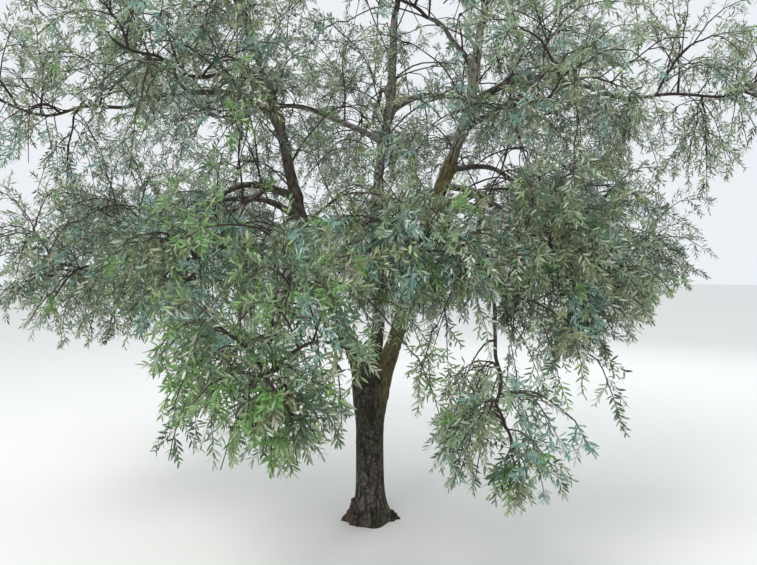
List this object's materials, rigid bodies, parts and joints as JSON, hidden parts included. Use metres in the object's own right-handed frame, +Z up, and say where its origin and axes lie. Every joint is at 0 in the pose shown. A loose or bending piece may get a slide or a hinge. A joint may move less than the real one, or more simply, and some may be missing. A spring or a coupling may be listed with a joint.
{
  "type": "olive tree",
  "caption": "Open-crowned olive tree: short trunk with a flared foot, forked into tapering boughs, arching side limbs and hanging masses of narrow leaves.",
  "frame": {"origin": "centre of the flat cut under the trunk, at ground level", "axes": "+Z up, +X to the right and +Y away from the viewer, as the tree is seen in the picture"},
  "size_m": [5.2887, 4.4775, 4.1157],
  "materials": {
    "bark": "rough, fissured grey-brown bark, olive-brown on the right bough",
    "foliage": "narrow grey-green leaves, silvery underneath"
  },
  "bodies": {
    "root": {"trunk": "bark", "bough_left": "bark", "bough_right": "bark", "bough_back": "bark", "limb_left_arch": "bark", "limb_left_drop": "bark", "limb_front_left": "bark", "limb_middle": "bark", "limb_far_left": "bark", "limb_left_front": "bark", "limb_left_back_low": "bark", "limb_right_low": "bark", "limb_front_right": "bark", "limb_right_side": "bark", "limb_right_front": "bark", "limb_far_right": "bark", "limb_top_front": "bark", "limb_right_back_low": "bark", "limb_back_left_low": "bark", "limb_back_right_low": "bark", "limb_left_back": "bark", "limb_right_back": "bark", "limb_back": "bark", "foliage_top_left": "foliage", "foliage_top_right": "foliage", "foliage_top_middle": "foliage", "foliage_far_left_low": "foliage", "foliage_left_low": "foliage", "foliage_front_left_low": "foliage", "foliage_front_middle": "foliage", "foliage_far_left_high": "foliage", "foliage_left_high": "foliage", "foliage_left_back_low": "foliage", "foliage_right_low": "foliage", "foliage_front_right_low": "foliage", "foliage_far_right_low": "foliage", "foliage_right_high": "foliage", "foliage_far_right_high": "foliage", "foliage_top_front": "foliage", "foliage_right_back_low": "foliage", "foliage_back_left_low": "foliage", "foliage_back_right_low": "foliage", "foliage_left_back_high": "foliage", "foliage_right_back_high": "foliage", "foliage_back_high": "foliage"}
  },
  "joints": []
}
